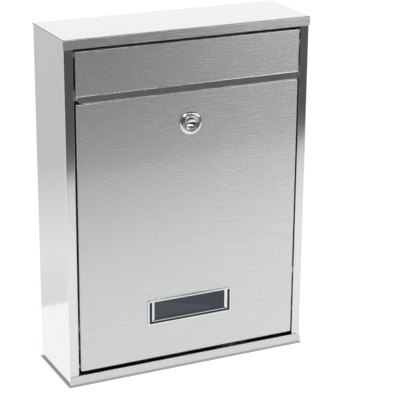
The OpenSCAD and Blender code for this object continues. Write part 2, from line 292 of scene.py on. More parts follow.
def build(name, *shells, smooth=35):
    """One mesh object from closed shells, each a pair of points and faces. Doubled points
    are merged, faces turned outwards, and edges sharper than smooth degrees kept crisp."""
    points = np.concatenate([p for p, f in shells])
    starts = np.cumsum([0] + [len(p) for p, f in shells])
    faces = [tuple(i + s for i in face) for (p, f), s in zip(shells, starts) for face in f]
    mesh = bpy.data.meshes.new(name)
    mesh.from_pydata(points, [], faces)
    tidy = bmesh.new()
    tidy.from_mesh(mesh)
    bmesh.ops.remove_doubles(tidy, verts=tidy.verts, dist=1e-7)
    bmesh.ops.recalc_face_normals(tidy, faces=tidy.faces)
    tidy.to_mesh(mesh)
    tidy.free()
    mesh.shade_smooth()
    mesh.set_sharp_from_angle(angle=math.radians(smooth))
    piece = bpy.data.objects.new(name, mesh)
    bpy.context.collection.objects.link(piece)
    return piece


def rod(radius, start, end, steps=48):
    """A plain round bar between two points, as points and faces."""
    start, end = Vector(start), Vector(end)
    turn = np.linspace(0, 2 * math.pi, steps, endpoint=False)
    ring = radius * np.stack([np.cos(turn), np.sin(turn), 0 * turn], 1)
    ring = ring @ np.array((end - start).to_track_quat("Z", "Y").to_matrix()).T
    points, faces = skin(np.array([ring + start, ring + end]), wrap=True)
    caps = [tuple(range(steps)), tuple(range(steps, 2 * steps))]
    return points, faces + caps


def block(low, high):
    """A plain box between two corners, as points and faces."""
    (x0, y0, z0), (x1, y1, z1) = low, high
    points = np.array([(x, y, z) for z in (z0, z1) for x, y in
                       ((x0, y0), (x1, y0), (x1, y1), (x0, y1))])
    faces = [(0, 1, 2, 3), (4, 5, 6, 7), (0, 1, 5, 4), (1, 2, 6, 5), (2, 3, 7, 6),
             (3, 0, 4, 7)]
    return points, faces


def cut(piece, *shells):
    """Cuts shells out of a piece for good: holes and slots."""
    tool = build("tool", *shells)
    modifier = piece.modifiers.new("cut", "BOOLEAN")
    modifier.object = tool
    modifier.solver = "EXACT"
    seen = piece.evaluated_get(bpy.context.evaluated_depsgraph_get())
    mesh = bpy.data.meshes.new_from_object(seen)
    piece.modifiers.clear()
    piece.data = mesh
    mesh.set_sharp_from_angle(angle=math.radians(35))
    bpy.data.objects.remove(tool)


def brush(piece, axis):
    """A UV map in metres for the brushing: on each face u runs across the strokes, square
    to the face's normal and to the axis that the strokes follow, and v runs along them."""
    mesh = piece.data
    corners, faces = len(mesh.loops), len(mesh.polygons)
    at, count = np.zeros(corners, int), np.zeros(faces, int)
    where, normal = np.zeros(len(mesh.vertices) * 3), np.zeros(faces * 3)
    mesh.loops.foreach_get("vertex_index", at)
    mesh.polygons.foreach_get("loop_total", count)
    mesh.vertices.foreach_get("co", where)
    mesh.polygons.foreach_get("normal", normal)
    owner = np.repeat(np.arange(faces), count)
    stroke = np.eye(3)["xyz".index(axis)]
    across = np.cross(normal.reshape(-1, 3), stroke)
    size = np.linalg.norm(across, axis=1)[:, None]
    across = np.where(size > 0.1, across / np.maximum(size, 0.1), (0.3, 0.8, 0.5))
    spot = where.reshape(-1, 3)[at]
    uv = np.stack([(spot * across[owner]).sum(1), spot @ stroke], 1)
    layer = mesh.uv_layers.get("brush") or mesh.uv_layers.new(name="brush")
    layer.data.foreach_set("uv", uv.ravel())


def even_normals(piece):
    """Lets the large flat faces lead the shading, so that folds don't bleed into them."""
    modifier = piece.modifiers.new("even normals", "WEIGHTED_NORMAL")
    modifier.weight = 100
    modifier.keep_sharp = True


def brushed_steel(name, along, rough, anisotropy, light, dark):
    """Brushed stainless sheet, a satin number 4 belt finish whose strokes lie along one
    axis: they draw each reflection out across themselves. A clear protective lacquer adds
    the faint sharp reflection on top. The strokes are too fine to show and stay in the
    roughness; fainter scratches, 25 mm long and drawn 0.7 mm apart, are the grain that
    the eye sees."""
    length, spacing, ripple = 25 * mm, 0.7 * mm, 110 * mm
    made, tree, output = material(name)
    place = node(tree, "ShaderNodeTexCoord").outputs["Object"]
    scale = [1 / spacing] * 3
    scale["xyz".index(along)] = 1 / length
    drawn = node(tree, "ShaderNodeMapping", {"Vector": place, "Scale": scale})
    scratch = node(tree, "ShaderNodeTexNoise", {
        "Vector": drawn.outputs[0], "Scale": 1.0, "Detail": 2.0}).outputs["Fac"]
    tint = node(tree, "ShaderNodeValToRGB", {"Fac": scratch})
    tint.color_ramp.elements[0].position, tint.color_ramp.elements[1].position = 0.3, 0.7
    tint.color_ramp.elements[0].color = srgb(dark)
    tint.color_ramp.elements[1].color = srgb(light)
    spread = node(tree, "ShaderNodeMapRange", {"Value": scratch, "From Min": 0.3,
                                               "From Max": 0.7, "To Min": rough - 0.006,
                                               "To Max": rough + 0.006}).outputs[0]
    waves = node(tree, "ShaderNodeTexNoise",
                 {"Vector": place, "Scale": 1 / ripple, "Detail": 0.0}).outputs["Fac"]
    soft = node(tree, "ShaderNodeBump", {"Height": waves, "Strength": 1.0,
                                         "Distance": 0.08 * mm}).outputs[0]
    lines = node(tree, "ShaderNodeTangent", direction_type="UV_MAP", uv_map="brush")
    shader = node(tree, "ShaderNodeBsdfPrincipled",
                  {"Base Color": tint.outputs["Color"], "Metallic": 1.0,
                   "Roughness": spread, "Anisotropic": anisotropy,
                   "Tangent": lines.outputs[0], "Normal": soft, "Coat Weight": 1.0,
                   "Coat Roughness": 0.09, "Coat IOR": 1.8})
    tree.links.new(shader.outputs[0], output.inputs["Surface"])
    return made


upright_steel = brushed_steel("brushed_stainless_upright", "z", 0.16, 0.90, "#e5e6e6", "#dfe1e1")
level_steel = brushed_steel("brushed_stainless_level", "x", 0.27, 0.80, "#dadbdb", "#d3d5d5")


def along_z(outline, s):
    """A section in XY, placed at height s."""
    return np.column_stack([outline, np.broadcast_to(s, len(outline))])


def fit(piece, body, slot, finish, *nodes):
    """Gives a piece its material and its place in the frame."""
    piece.data.materials.append(finish)
    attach(piece, body)
    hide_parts(*nodes)


low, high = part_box("body_shell")
side_gap = 1.6 * mm
open_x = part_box("door_panel")[1].x + side_gap
body = build("body_sheet", sheet_run(
    [(open_x, low.y), (high.x, low.y), (high.x, 0), (low.x, 0), (low.x, low.y),
     (-open_x, low.y)],
    along_z, lambda ring: (low.z + SEAM, high.z - SEAM), ease=ROUNDED))
holes = frame["record"]["mounts"][0]["dims"]
hole_x, hole_z = holes["spacing_x_mm"] / 2 * mm, holes["spacing_y_mm"] / 2 * mm
cut(body, *(rod(holes["hole_r_mm"] * mm, (x, -5 * mm, z), (x, 5 * mm, z))
            for x in (-hole_x, hole_x) for z in (-hole_z, hole_z)))
brush(body, "z")
even_normals(body)
fit(body, "box", "brushed_sheet", upright_steel, "body_shell")


# ---- Top and bottom panels ----
# Each is one brushed sheet: the plate, and a strip folded down over the side strips, with
# rounded lower corners. Two short flanges inside are spot-welded to the sides.

def along_x(outline, s):
    """A section in YZ, placed at s along X."""
    return np.column_stack([np.broadcast_to(s, len(outline)), outline])


def rounded_ends(half, foot, corner, up=1):
    """The reach of a sheet whose lower corners, at height foot, are rounded: a point h
    above the foot is drawn in by corner - sqrt(corner^2 - (corner - h)^2)."""
    def reach(outline):
        h = np.clip((outline[:, 1] - foot) * up, 0, corner)
        inward = corner - np.sqrt(corner ** 2 - (corner - h) ** 2)
        return inward - half, half - inward
    return reach


def plain_steel(name, light, dark, rough, mottle):
    """Cold rolled or plated steel: an even grey with a soft mottle, mottle metres across,
    and a surface that scatters more than a mirror and less than paint."""
    made, tree, output = material(name)
    place = node(tree, "ShaderNodeTexCoord").outputs["Object"]
    clouds = node(tree, "ShaderNodeTexNoise", {"Vector": place, "Scale": 1 / mottle,
                                               "Detail": 4.0}).outputs["Fac"]
    tint = node(tree, "ShaderNodeValToRGB", {"Fac": clouds})
    tint.color_ramp.elements[0].position, tint.color_ramp.elements[1].position = 0.3, 0.7
    tint.color_ramp.elements[0].color = srgb(dark)
    tint.color_ramp.elements[1].color = srgb(light)
    spread = node(tree, "ShaderNodeMapRange", {"Value": clouds, "To Min": rough - 0.08,
                                               "To Max": rough + 0.08}).outputs[0]
    grain = node(tree, "ShaderNodeBump", {"Height": clouds, "Strength": 0.3,
                                          "Distance": 0.04 * mm}).outputs[0]
    shader = node(tree, "ShaderNodeBsdfPrincipled",
                  {"Base Color": tint.outputs["Color"], "Metallic": 1.0,
                   "Roughness": spread, "Normal": grain})
    tree.links.new(shader.outputs[0], output.inputs["Surface"])
    return made


# The dark grey below is painted shade: it goes on the caps' cut ends and draws the shadowed seam
# where each cap meets a side.
seam_shade_steel = plain_steel("painted_seam_shade", "#77797b", "#5c5e60", 0.45, 0.6 * mm)
flange_front, flange_back, weld_gap = -62 * mm, -6 * mm, 0.1 * mm

for name, up, strip, corner in (("top", 1, 8 * mm, 1.5 * mm), ("bottom", -1, 9 * mm, 4.5 * mm)):
    low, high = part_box(f"{name}_panel")
    edge = high.z if up > 0 else low.z
    foot = edge - up * strip
    steps = [(low.y, foot + up * corner * t) for t in np.linspace(1, 0, 7)]
    path = [(0, edge), (low.y, edge)] + steps
    if up < 0:
        path = path[::-1]
    cap = sheet_run(path, along_x, rounded_ends(high.x, foot, corner, up))
    flanges = []
    for side in (-1, 1):
        wall = side * (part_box("body_shell")[1].x - SHEET - weld_gap)
        x, z = sorted((wall, wall - side * SHEET)), sorted((foot, edge - up * SHEET))
        flanges.append(block((x[0], flange_front, z[0]), (x[1], flange_back, z[1])))
    panel = build(f"{name}_sheet", cap, *flanges)
    brush(panel, "x")
    even_normals(panel)
    fit(panel, "box", "brushed_sheet", level_steel, f"{name}_panel")
    # The caps' cut ends take the dark grey: painted shade along the seam over each side.
    panel.data.materials.append(seam_shade_steel)
    for face in panel.data.polygons:
        face.material_index = int(abs(face.normal.x) > 0.3 and abs(face.center.z - edge) < SHEET)


# ---- Crossbar ----
# A plain sheet channel, open downwards, spot-welded across the box between the flap and
# the door. The flap's foot rests on it, and the lock's cam turns up behind it.

mill_steel = plain_steel("mill_finish_stainless", "#a9adae", "#9b9fa1", 0.38, 2.5 * mm)

low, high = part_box("crossbar")
bar = build("crossbar_channel", sheet_run(
    [(high.y, low.z), (high.y, high.z), (low.y, high.z), (low.y, low.z)],
    along_x, lambda ring: (low.x, high.x)))
even_normals(bar)
fit(bar, "box", "plain_sheet", mill_steel, "crossbar")


# ---- Letter flap ----
# One brushed sheet with a folded top edge and a lip kicked out along the bottom to lift
# it by. An ear welded inside each end hangs on the hinge rod, and narrows downwards.

def polygon_radius(corners, turn):
    """How far a convex outline lies from the origin in each direction: the least, over its
    sides, of the side's distance over the cosine of the angle from the side's normal."""
    corners = np.asarray(corners, float)
    side = np.roll(corners, -1, 0) - corners
    normal = np.stack([side[:, 1], -side[:, 0]], 1) / np.linalg.norm(side, axis=1)[:, None]
    distance = (corners * normal).sum(1)
    facing = normal @ np.array([np.cos(turn), np.sin(turn)])
    return np.where(facing > 1e-6, distance[:, None] / np.maximum(facing, 1e-6), 9).min(0)


def revolve(radius, along, centre, axis, turn=np.linspace(0, 2 * math.pi, 96, False),
            closed=True):
    """A surface about an axis through the centre. Row i of radius and of along says how
    far out and how far along the axis its points lie, at each angle of turn: a constant
    row is a circle. A closed profile joins its last row to its first; an open one has
    poles, where radius is 0."""
    shape = (len(along), len(turn))
    radius = np.broadcast_to(np.asarray(radius, float).reshape(shape[0], -1), shape)
    along = np.broadcast_to(np.asarray(along, float).reshape(shape[0], -1), shape)
    grid = np.empty((*shape, 3))
    first, second = {"x": (1, 2), "y": (0, 2), "z": (0, 1)}[axis]
    grid[..., "xyz".index(axis)] = along
    grid[..., first] = radius * np.cos(turn)
    grid[..., second] = radius * np.sin(turn)
    grid += np.asarray(centre)
    return skin(np.concatenate([grid, grid[:1]]) if closed else grid, wrap=True)


def ring_plate(outer, inner, low, high, centre, axis, turn, ease=0.12 * mm):
    """A flat plate with a hole: outer and inner are its radii at each angle of turn, and
    its edges are eased by a quarter round."""
    quarter = np.linspace(0, math.pi / 2, 4)
    drawn, step = ease * (1 - np.sin(quarter)), ease * (1 - np.cos(quarter))
    radius = [*(outer - d for d in drawn), *(outer - d for d in drawn[::-1]),
              *(inner + d for d in drawn), *(inner + d for d in drawn[::-1])]
    along = [*(low + step), *(high - step[::-1]), *(high - step), *(low + step[::-1])]
    rows = np.array([np.broadcast_to(r, turn.shape) for r in radius])
    return revolve(rows, along, centre, axis, turn)


low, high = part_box("flap_panel")
face_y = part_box("door_panel")[0].y
lip_out, lip_drop, lip_corner = face_y - low.y, 5 * mm, 4.5 * mm
top_edge, lip_fold = 5.5 * mm, 2.0 * mm
fold_z = low.z + lip_drop
lip = [(face_y - lip_out * t, fold_z - lip_drop * t) for t in np.linspace(0, 1, 13)]
rod_low, rod_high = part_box("flap_rod")
rod_y, rod_z = (rod_low.y + rod_high.y) / 2, (rod_low.z + rod_high.z) / 2
rod_r = (rod_high.y - rod_low.y) / 2
ear_root, ear_foot, ear_w, eye_r, eye_top = (v * mm for v in (-69.6, 110.5, 2.4, 2.9, 2.5))
outline = np.array([(ear_root, ear_foot), (ear_root + ear_w, ear_foot),
                    (rod_y + eye_r, rod_z), (rod_y, rod_z + eye_top),
                    (ear_root, rod_z + eye_top)]) - (rod_y, rod_z)
turn = np.sort(np.concatenate([np.linspace(-math.pi, math.pi, 96, False),
                               np.arctan2(outline[:, 1], outline[:, 0])]))
ear = np.maximum(polygon_radius(outline, turn), eye_r)
ears = [ring_plate(ear, rod_r + 0.1 * mm, x, x + SHEET, (0, rod_y, rod_z), "x", turn)
        for x in (low.x, high.x - SHEET)]
path = [(face_y + top_edge, high.z), (face_y, high.z)] + lip
flap = build("flap_sheet", sheet_run(
    path, along_x, rounded_ends(high.x, low.z, lip_corner),
    radius=[FOLD, lip_fold] + [FOLD] * (len(lip) - 2), ease=ROUNDED), *ears)
brush(flap, "x")
even_normals(flap)
fit(flap, "flap", "brushed_sheet", level_steel, "flap_panel")


# ---- Hinge brackets ----
# Four angle brackets in 1.2 mm sheet are spot-welded behind the side strips. The upper
# two carry the flap's rod, and the lower two the door's 4 mm pins.

bracket_t, pin_r = 1.2 * mm, 2 * mm
for name, axle in (("flap_bracket", "flap_rod"), ("door_bracket", "door_pin")):
    for side, word in ((-1, "left"), (1, "right")):
        low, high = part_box(f"{name}_{word}")
        pin_low, pin_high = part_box(axle if axle == "flap_rod" else f"{axle}_{word}")
        inner, foot = sorted((low.x, high.x), key=abs)
        path = [(inner, high.y), (inner, low.y), (foot, low.y)]
        path = path if side > 0 else path[::-1]
        bracket = build(f"{name}_{word}_angle", sheet_run(
            path, along_z, lambda ring: (low.z, high.z), thick=bracket_t))
        middle = (pin_low + pin_high) / 2
        bore = rod_r if axle == "flap_rod" else pin_r
        cut(bracket, rod(bore, (inner - 2 * side * mm, middle.y, middle.z),
                         (inner + 3 * side * mm, middle.y, middle.z)))
        even_normals(bracket)
        fit(bracket, "box", "plain_sheet", mill_steel, f"{name}_{word}")


# ---- Hinge rod, clips and door pins ----
# The flap hangs on one zinc-plated rod with a snap ring near each end. The door turns on
# two short headed pins pressed into the lower brackets.

zinc = plain_steel("bright_zinc_plate", "#b4b9bf", "#a2a8ae", 0.30, 1.2 * mm)


def eased(corners, ease, closed=True, steps=4):
    """A profile with its corners rounded: each is swapped for a parabola that leaves one
    side and meets the next, ease away from the corner or at most 0.45 of the side."""
    corners = np.asarray(corners, float)
    u = np.linspace(0, 1, steps + 1)[None, :, None]
    ends = []
    for shift in (1, -1):
        run = np.roll(corners, shift, 0) - corners
        length = np.linalg.norm(run, axis=1)[:, None]
        ends.append(corners + run / length * np.minimum(ease, 0.45 * length))
    start, end = ends[0][:, None], ends[1][:, None]
    curve = (1 - u) ** 2 * start + 2 * u * (1 - u) * corners[:, None] + u ** 2 * end
    if closed:
        return curve.reshape(-1, 2)
    return np.concatenate([corners[:1], curve[1:-1].reshape(-1, 2), corners[-1:]])


profile = eased([(0, rod_low.x), (rod_r, rod_low.x), (rod_r, rod_high.x), (0, rod_high.x)],
                0.3 * mm, closed=False)
fit(build("hinge_rod", revolve(profile[:, 0], profile[:, 1], (0, rod_y, rod_z), "x",
                               closed=False)),
    "box", "zinc_hardware", zinc, "flap_rod")

clip_low, clip_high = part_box("rod_clips")
clip_r, clip_t, notch = (clip_high.y - clip_low.y) / 2, 0.8 * mm, 0.35 * mm
turn = np.linspace(0, 2 * math.pi, 96, False)
notches = notch * np.clip(np.cos(3 * turn + math.pi / 2) * 4 - 2.4, 0, 1)
fit(build("snap_rings", *(ring_plate(clip_r - notches, rod_r, x, x + clip_t,
                                     (0, rod_y, rod_z), "x", turn)
                          for x in (clip_low.x, clip_high.x - clip_t))),
    "box", "zinc_hardware", zinc, "rod_clips")

for side, word in ((-1, "left"), (1, "right")):
    low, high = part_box(f"door_pin_{word}")
    head_r, head_t = (high.y - low.y) / 2, 1 * mm
    inner, outer = sorted((low.x, high.x), key=abs)
    profile = eased([(0, inner), (head_r, inner), (head_r, inner + side * head_t),
                     (pin_r, inner + side * head_t), (pin_r, outer), (0, outer)],
                    0.3 * mm, closed=False)
    middle = (low + high) / 2
    fit(build(f"hinge_pin_{word}", revolve(profile[:, 0], profile[:, 1],
                                           (0, middle.y, middle.z), "x", closed=False)),
        "box", "zinc_hardware", zinc, f"door_pin_{word}")


# ---- Door ----
# A brushed sheet folded back on all four edges into a shallow tray, its corners welded
# and ground. It is pierced for the lock, the name plate and the two hinge pins.

def rounded_rings(low, high, corner, steps):
    """A closed shell of rounded rectangles seen from the front. At each step (d, y) the
    outline is drawn in by d and set at depth y; past the corner's own radius its corners
    are square. The first and the last ring are filled in flat."""
    around = np.linspace(0, math.pi / 2, 7)
    angle = np.concatenate([k * math.pi / 2 + around for k in range(4)])
    facing = np.stack([np.cos(angle), np.sin(angle)], 1)
    quarter = np.repeat([(1, 1), (-1, 1), (-1, -1), (1, -1)], len(around), axis=0)
    centre = np.array([(low[0] + high[0]) / 2, (low[2] + high[2]) / 2])
    half = np.array([high[0] - low[0], high[2] - low[2]]) / 2
    rows = []
    for d, y in steps:
        ring = centre + quarter * (half - max(d, corner)) + facing * max(corner - d, 0)
        rows.append(np.column_stack([ring[:, 0], np.full(len(ring), y), ring[:, 1]]))
    points, faces = skin(np.array(rows), wrap=True)
    size = len(angle)
    last = len(points) - size
    return points, faces + [tuple(range(size)), tuple(range(last, last + size))]


def tray(low, high, thick=SHEET, radius=FOLD, corner=1.6 * mm, hold=4 * mm):
    """A sheet tray open towards +Y: rounded rings go down the outside of the fold, over
    the eased rear edge and back up the fold's inside."""
    turn = np.linspace(0, math.pi / 2, 7)
    outer = radius + thick
    front, rear = low.y, high.y
    steps = [(hold, front)]
    steps += [(outer * (1 - math.sin(t)), front + outer * (1 - math.cos(t))) for t in turn]
    steps += [(EASE * (1 - math.cos(t)), rear - EASE * (1 - math.sin(t))) for t in turn[::2]]
    steps += [(thick - EASE * (1 - math.sin(t)), rear - EASE * (1 - math.cos(t)))
              for t in turn[::2]]
    steps += [(outer - radius * math.cos(t), front + outer - radius * math.sin(t))
              for t in turn]
    steps += [(hold, front + thick)]
    return rounded_rings(low, high, corner, steps)


low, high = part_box("door_panel")
lock_low, lock_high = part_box("lock_housing")
lock_z = (lock_low.z + lock_high.z) / 2
glass_low, glass_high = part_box("name_window")
lock_hole, socket, running_fit = 8.1 * mm, 0.9 * mm, 0.08 * mm
pin = sum(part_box("door_pin_right"), Vector()) / 2
door = build("door_sheet", tray(low, high))
cut(door, rod(lock_hole, (0, low.y - mm, lock_z), (0, low.y + 2 * mm, lock_z)),
    block((glass_low.x - socket, low.y - mm, glass_low.z - socket),
          (glass_high.x + socket, low.y + 2 * mm, glass_high.z + socket)),
    rod(pin_r + running_fit, (low.x - mm, pin.y, pin.z), (high.x + mm, pin.y, pin.z)))
brush(door, "x")
even_normals(door)
fit(door, "door", "brushed_sheet", level_steel, "door_panel")


# ---- Stops and buffers ----
# Two angle stops inside the box carry rubber buffers that the shut door rests on, and two
# small bumpers on the crossbar quieten the flap.

def rubber(name):
    """Moulded EPDM rubber: nearly black, matt, with a fine mould grain 0.4 mm across."""
    made, tree, output = material(name)
    place = node(tree, "ShaderNodeTexCoord").outputs["Object"]
    grain = node(tree, "ShaderNodeTexNoise", {"Vector": place, "Scale": 1 / (0.4 * mm),
                                              "Detail": 3.0}).outputs["Fac"]
    tint = node(tree, "ShaderNodeValToRGB", {"Fac": grain})
    tint.color_ramp.elements[0].color = srgb("#1d1e20")
    tint.color_ramp.elements[1].color = srgb("#303234")
    bump = node(tree, "ShaderNodeBump", {"Height": grain, "Strength": 0.5,
                                         "Distance": 0.05 * mm}).outputs[0]
    shader = node(tree, "ShaderNodeBsdfPrincipled",
                  {"Base Color": tint.outputs["Color"], "Roughness": 0.75, "IOR": 1.52,
                   "Normal": bump})
    tree.links.new(shader.outputs[0], output.inputs["Surface"])
    return made


stop_low, stop_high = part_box("door_stops")
stop_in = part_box("door_buffers")[1].x - 9.1 * mm
angles = []
for side in (1, -1):
    path = [(side * stop_in, stop_low.y), (side * stop_high.x, stop_low.y),
            (side * stop_high.x, stop_high.y)]
    angles.append(sheet_run(path[::side], along_z, lambda ring: (stop_low.z, stop_high.z),
                            bracket_t))
stops = build("door_stop_angles", *angles)
even_normals(stops)
fit(stops, "box", "plain_sheet", mill_steel, "door_stops")

black_rubber = rubber("moulded_rubber")
for name, edge in (("door_buffers", 0.6 * mm), ("flap_buffers", 0.2 * mm)):
    low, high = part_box(name)
    pad_r = (high.z - low.z) / 2
    profile = eased([(0, low.y), (pad_r, low.y), (pad_r, high.y), (0, high.y)], edge,
                    closed=False)
    pads = [revolve(profile[:, 0], profile[:, 1], (x, 0, (low.z + high.z) / 2), "y",
                    closed=False) for x in (low.x + pad_r, high.x - pad_r)]
    fit(build(f"{name}_pads", *pads), "box", "rubber_pads", black_rubber, name)


# ---- Lock ----
# A chrome-plated die-cast cam lock, held from behind by a toothed washer and a brass nut.
# The key turns the plug inside the housing, with the five wafers and the cam on it.

def chrome_plate(name, rough):
    """Bright chrome over nickel on die-cast zinc: a cool mirror, with the faint orange
    peel of the casting under it, about 1.5 mm across."""
    made, tree, output = material(name)
    place = node(tree, "ShaderNodeTexCoord").outputs["Object"]
    peel = node(tree, "ShaderNodeTexNoise", {"Vector": place, "Scale": 1 / (1.5 * mm),
                                             "Detail": 2.0}).outputs["Fac"]
    spread = node(tree, "ShaderNodeMapRange", {"Value": peel, "To Min": rough * 0.7,
                                               "To Max": rough * 1.4}).outputs[0]
    bump = node(tree, "ShaderNodeBump", {"Height": peel, "Strength": 0.5,
                                         "Distance": 0.02 * mm}).outputs[0]
    shader = node(tree, "ShaderNodeBsdfPrincipled",
                  {"Base Color": srgb("#e9ecee"), "Metallic": 1.0, "Roughness": spread,
                   "Normal": bump})
    tree.links.new(shader.outputs[0], output.inputs["Surface"])
    return made


def machined_brass(name, light, dark):
    """Turned free-cutting brass, a little dulled, with turning marks 0.15 mm apart."""
    made, tree, output = material(name)
    place = node(tree, "ShaderNodeTexCoord").outputs["Object"]
    marks = node(tree, "ShaderNodeTexNoise",
                 {"Vector": node(tree, "ShaderNodeMapping",
                                 {"Vector": place, "Scale": (800, 6600, 800)}).outputs[0],
                  "Scale": 1.0, "Detail": 3.0}).outputs["Fac"]
    tint = node(tree, "ShaderNodeValToRGB", {"Fac": marks})
    tint.color_ramp.elements[0].color = srgb(dark)
    tint.color_ramp.elements[1].color = srgb(light)
    spread = node(tree, "ShaderNodeMapRange", {"Value": marks, "To Min": 0.22,
                                               "To Max": 0.42}).outputs[0]
    shader = node(tree, "ShaderNodeBsdfPrincipled",
                  {"Base Color": tint.outputs["Color"], "Metallic": 1.0,
                   "Roughness": spread})
    tree.links.new(shader.outputs[0], output.inputs["Surface"])
    return made


bright_chrome = chrome_plate("bright_chrome", 0.07)
brass = machined_brass("machined_brass", "#cdb06a", "#b0904a")
# The darker brass is painted shade: the wafers sit deep in the keyway.
keyway_shade_brass = machined_brass("keyway_shade_brass", "#5a4c2e", "#463b24")
axis_at = (0, face_y, lock_z)

bezel_r, barrel_r, collar_r, collar_h = 10 * mm, 8 * mm, 7.5 * mm, 3 * mm
core_r, head_r, head_bore, seat = 5 * mm, 6.42 * mm, 6.5 * mm, 2 * mm
barrel_l = lock_high.y - face_y
thread_pitch, thread_depth = 1.0 * mm, 0.3 * mm
turn = np.linspace(0, 2 * math.pi, 96, False)
t = np.linspace(0, math.pi / 2, 10)
dome = np.column_stack([collar_r + 0.35 * mm + (bezel_r - collar_r - 0.35 * mm) * np.cos(t),
                        0.5 * mm + 1.9 * mm * np.sin(t)])
rim = eased([dome[-1], (collar_r, 2.4 * mm), (collar_r - 0.15 * mm, collar_h),
             (head_bore, collar_h), (head_bore, -seat)], 0.2 * mm, closed=False)
bore = np.array([(core_r + 0.08 * mm, -seat), (core_r + 0.08 * mm, -barrel_l),
                 (barrel_r - 0.6 * mm, -barrel_l)])
thread = np.linspace(0.6 * mm - barrel_l, -0.5 * mm, 180)
crest = np.abs((thread[:, None] / thread_pitch + turn / (2 * math.pi)) % 1 * 2 - 1)
fade = np.clip((thread + barrel_l) / (2 * mm), 0, 1)[:, None]
threaded = barrel_r - thread_depth * (1 - crest * fade)
foot = np.array([(barrel_r - thread_depth, 0), (bezel_r, 0)])
radius = np.concatenate([np.tile(part[:, :1], (1, len(turn))) for part in (dome, rim, bore)]
                        + [threaded] + [np.tile(foot[:, :1], (1, len(turn)))])
height = np.concatenate([dome[:, 1], rim[:, 1], bore[:, 1], thread, foot[:, 1]])
fit(build("lock_body", revolve(radius, -height, axis_at, "y", turn)),
    "door", "chrome_plate", bright_chrome, "lock_housing")

low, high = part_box("lock_washer")
turn = np.linspace(0, 2 * math.pi, 216, False)
teeth = 0.45 * mm * (1 + np.clip(3 * np.sin(18 * turn), -1, 1))
fit(build("toothed_washer", ring_plate((high.x - low.x) / 2 - teeth, barrel_r, low.y,
                                       high.y, (0, 0, lock_z), "y", turn)),
    "door", "zinc_hardware", zinc, "lock_washer")

low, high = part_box("lock_nut")
nut_r = (high.x - low.x) / 2
corner = np.arange(6) * math.pi / 3
turn = np.linspace(0, 2 * math.pi, 192, False)
hexagon = polygon_radius(nut_r * np.stack([np.cos(corner), np.sin(corner)], 1), turn)
level = np.concatenate([np.linspace(0, 0.6, 7), np.linspace(2.4, 3.0, 7)]) * mm
limit = nut_r * 0.91 + np.minimum(level, 3 * mm - level) / math.tan(math.radians(30))
sides = np.minimum(hexagon, limit[:, None])
bore = np.array([(barrel_r + 0.25 * mm, 3.0 * mm), (barrel_r, 2.75 * mm),
                 (barrel_r, 0.25 * mm), (barrel_r + 0.25 * mm, 0.0)])
radius = np.concatenate([sides, np.tile(bore[:, :1], (1, len(turn)))])
fit(build("hexagon_nut", revolve(radius, np.concatenate([level, bore[:, 1]]),
                                 (0, low.y, lock_z), "y", turn)),
    "door", "brass_parts", brass, "lock_nut")

cam_low, cam_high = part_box("lock_cam")
plug_end = face_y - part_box("lock_plug")[1].y
face_h, dish_h = 2.4 * mm, 0.9 * mm
dish_w, dish_z = 4.5 * mm, 3.1 * mm
tang = 3 * mm * np.array([(1, 1), (-1, 1), (-1, -1), (1, -1)])
turn = np.linspace(0, 2 * math.pi, 128, False)
ring = np.linspace(0, head_r - 0.35 * mm, 40)[:, None]
spread = np.sqrt((ring * np.cos(turn) / dish_w) ** 2 + (ring * np.sin(turn) / dish_z) ** 2)
groove = 0.25 * mm * np.exp(-((ring - 5.3 * mm) / (0.22 * mm)) ** 2)
front = face_h - dish_h * np.clip(1 - spread ** 2, 0, 1) ** 0.8 - groove
square = polygon_radius(tang, turn)
rear = cam_low.y - face_y
side = [(head_r, face_h - 0.35 * mm), (head_r, 0.1 * mm - seat), (core_r, 0.1 * mm - seat),
        (core_r, -rear)]
radius = np.concatenate([np.tile(ring, (1, len(turn))),
                         *(np.full((1, len(turn)), r) for r, h in side),
                         square[None], square[None], 0 * square[None]])
height = np.concatenate([front, *(np.full((1, len(turn)), h) for r, h in side),
                         *(np.full((1, len(turn)), h)
                           for h in (-rear, plug_end, plug_end))])
plug = build("key_plug", revolve(radius, -height, axis_at, "y", turn, closed=False))
key_w, key_h, key_l, screw_r = 3.4 * mm, 0.75 * mm, 16 * mm, 2 * mm
cut(plug, block((-key_w, face_y - 5 * mm, lock_z - key_h),
                (key_w, face_y + key_l, lock_z + key_h)))
cut(plug, rod(screw_r, (0, cam_low.y - 1.5 * mm, lock_z), (0, cam_low.y + 3 * mm, lock_z)))
fit(plug, "lock_core", "chrome_plate", bright_chrome, "lock_plug")

cam_half, cam_reach = (cam_high.z - cam_low.z) / 2, -cam_low.x
turn = np.linspace(0, 2 * math.pi, 240, False)
far = cam_reach - cam_half
ahead = -far * np.cos(turn)
end = ahead + np.sqrt(np.clip(cam_half ** 2 - far ** 2 + ahead ** 2, 0, None))
side = cam_half / np.maximum(np.abs(np.sin(turn)), 1e-6)
stadium = np.where(np.cos(turn) > 0, cam_half,
                   np.where(side * -np.cos(turn) < far, side, end))
square = polygon_radius(tang, turn)
fit(build("cam_plate", ring_plate(stadium, square, cam_low.y, cam_high.y, (0, 0, lock_z),
                                  "y", turn, ease=0.25 * mm)),
    "lock_core", "zinc_hardware", zinc, "lock_cam")

low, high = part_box("cam_washer")
turn = np.linspace(0, 2 * math.pi, 96, False)
fit(build("plain_washer", ring_plate(high.x + 0 * turn, screw_r, low.y, high.y,
                                     (0, 0, lock_z), "y", turn)),
    "lock_core", "zinc_hardware", zinc, "cam_washer")

